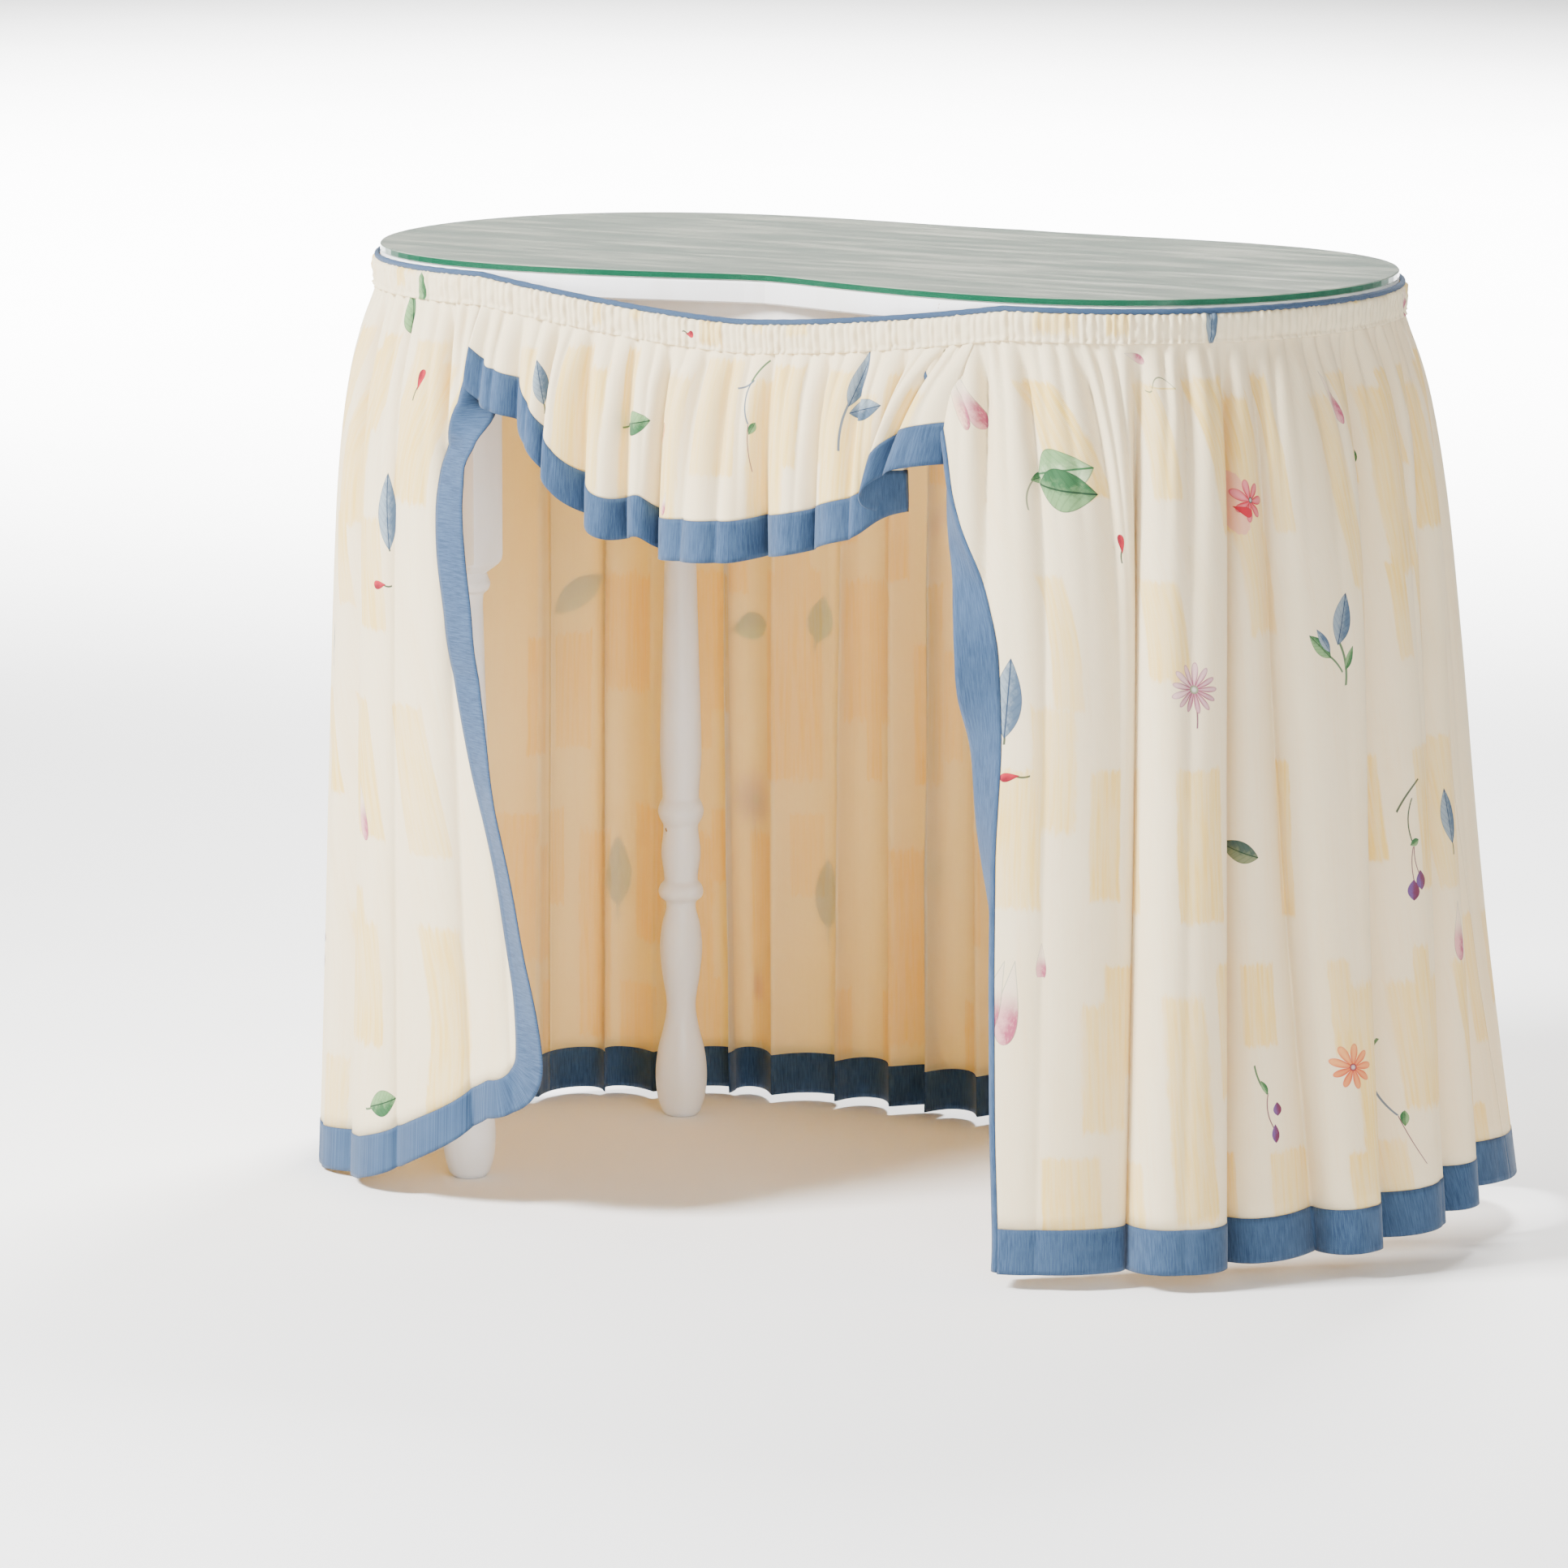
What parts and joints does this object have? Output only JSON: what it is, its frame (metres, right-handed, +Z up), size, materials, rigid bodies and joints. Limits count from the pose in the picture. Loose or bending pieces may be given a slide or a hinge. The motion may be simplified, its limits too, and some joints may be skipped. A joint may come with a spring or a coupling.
{
  "type": "dressing table",
  "caption": "Kidney-shaped dressing table on turned white legs, with a gathered printed cotton skirt, a scalloped valance over the kneehole and a loose glass top.",
  "frame": {"origin": "middle of the table's bounding box, on the floor under the feet", "axes": "+X along the length, to the right end as seen from the kneehole; +Y to the back; the kneehole faces -Y; +Z up"},
  "size_m": [1.0174, 0.5926, 0.765],
  "materials": {
    "float_glass": "gloss",
    "white_paint": "satin",
    "bare_pine": "matte",
    "printed_cotton": "matte",
    "blue_cotton": "matte",
    "elastic_webbing": "matte",
    "zinc_steel": "satin"
  },
  "bodies": {
    "table": {"top_board": "white_paint", "apron_front": "white_paint", "apron_back": "white_paint", "apron_left": "white_paint", "apron_right": "white_paint", "leg_front_left": "white_paint", "leg_front_right": "white_paint", "leg_back_left": "white_paint", "leg_back_right": "white_paint", "brace_front_left": "bare_pine", "brace_front_right": "bare_pine", "brace_back_left": "bare_pine", "brace_back_right": "bare_pine", "screw_front_left": "zinc_steel", "screw_front_right": "zinc_steel", "screw_back_left": "zinc_steel", "screw_back_right": "zinc_steel", "heading_elastic": "elastic_webbing", "heading_casing": "printed_cotton", "top_piping": "blue_cotton", "skirt_left": "printed_cotton", "skirt_right": "printed_cotton", "skirt_back_left": "printed_cotton", "skirt_back_right": "printed_cotton", "border_left": "blue_cotton", "border_right": "blue_cotton", "hem_back_left": "blue_cotton", "hem_back_right": "blue_cotton", "valance": "printed_cotton", "valance_border": "blue_cotton"},
    "glass": {"glass_top": "float_glass"}
  },
  "joints": [
    {"name": "glass_lift", "type": "slide", "parent": "table", "child": "glass", "axis": [0, 0, 1], "range_m": [0, 0.12]}
  ]
}
